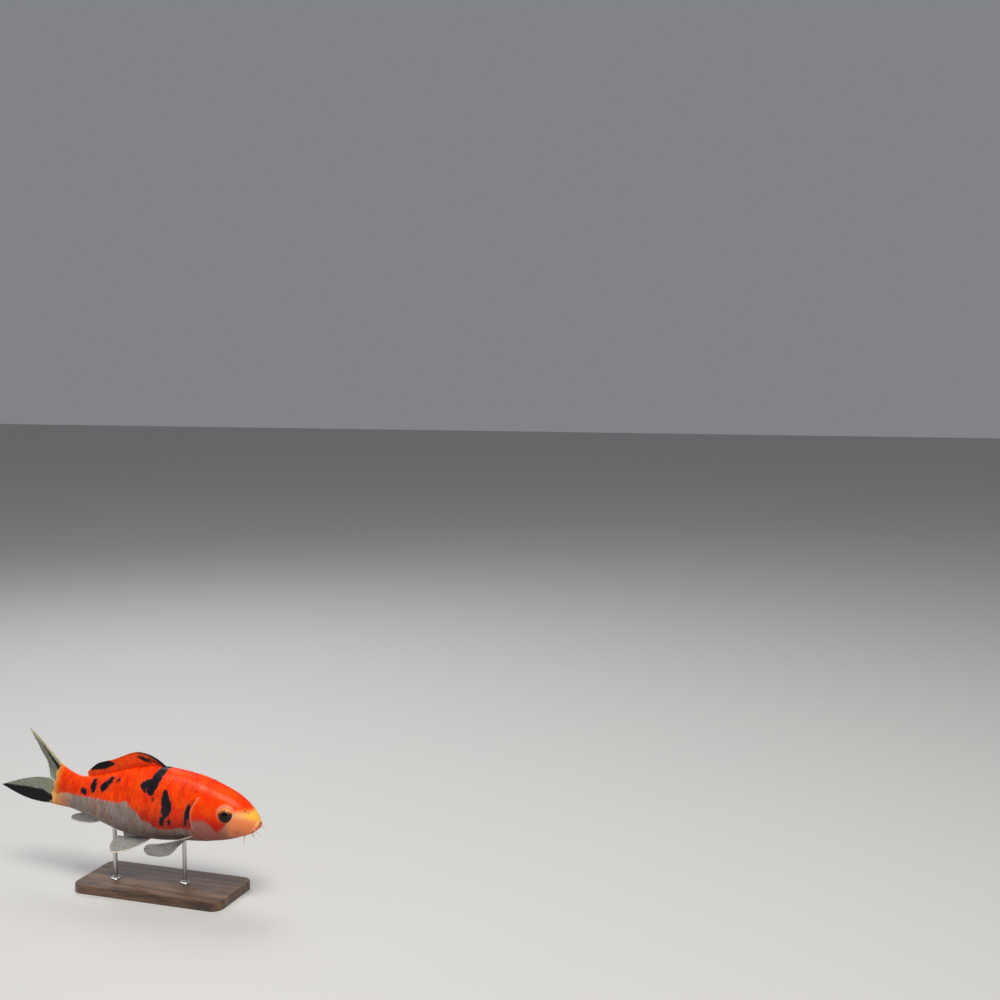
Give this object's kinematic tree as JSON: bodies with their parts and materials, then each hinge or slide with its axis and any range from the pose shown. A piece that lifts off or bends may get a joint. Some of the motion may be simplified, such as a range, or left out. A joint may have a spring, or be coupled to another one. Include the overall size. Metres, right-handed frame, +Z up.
{
  "type": "koi carp",
  "caption": "Life-size young koi carp in a gentle swimming bend, orange and pale with black marks, scaled body, folded fins and barbels, held up by short rods on a flat display base.",
  "frame": {"origin": "centre of the stand base's underside", "axes": "+X towards the fish's snout, +Y to its left, +Z up"},
  "size_m": [0.2762, 0.064, 0.1346],
  "materials": {
    "skin": "wet scaled skin, orange over pale with black marks",
    "eye": "polished dark eye",
    "barbel": "soft pale feeler",
    "coloured_fin": "orange fin with black streaks",
    "clear_fin": "pale translucent fin",
    "base": "satin dark wood",
    "rod": "brushed steel rod"
  },
  "bodies": {
    "root": {"head": "skin", "trunk": "skin", "tail_stem": "skin", "gill_cover_right": "skin", "gill_cover_left": "skin", "eye_right": "eye", "eye_left": "eye", "barbel_rear_right": "barbel", "barbel_front_right": "barbel", "barbel_rear_left": "barbel", "barbel_front_left": "barbel", "fin_dorsal": "coloured_fin", "fin_tail_upper": "clear_fin", "fin_tail_lower": "clear_fin", "fin_anal": "clear_fin", "fin_pectoral_right": "clear_fin", "fin_pectoral_left": "clear_fin", "fin_pelvic_right": "clear_fin", "fin_pelvic_left": "clear_fin", "stand_base": "base", "stand_rod_front": "rod", "stand_rod_rear": "rod"}
  },
  "joints": []
}
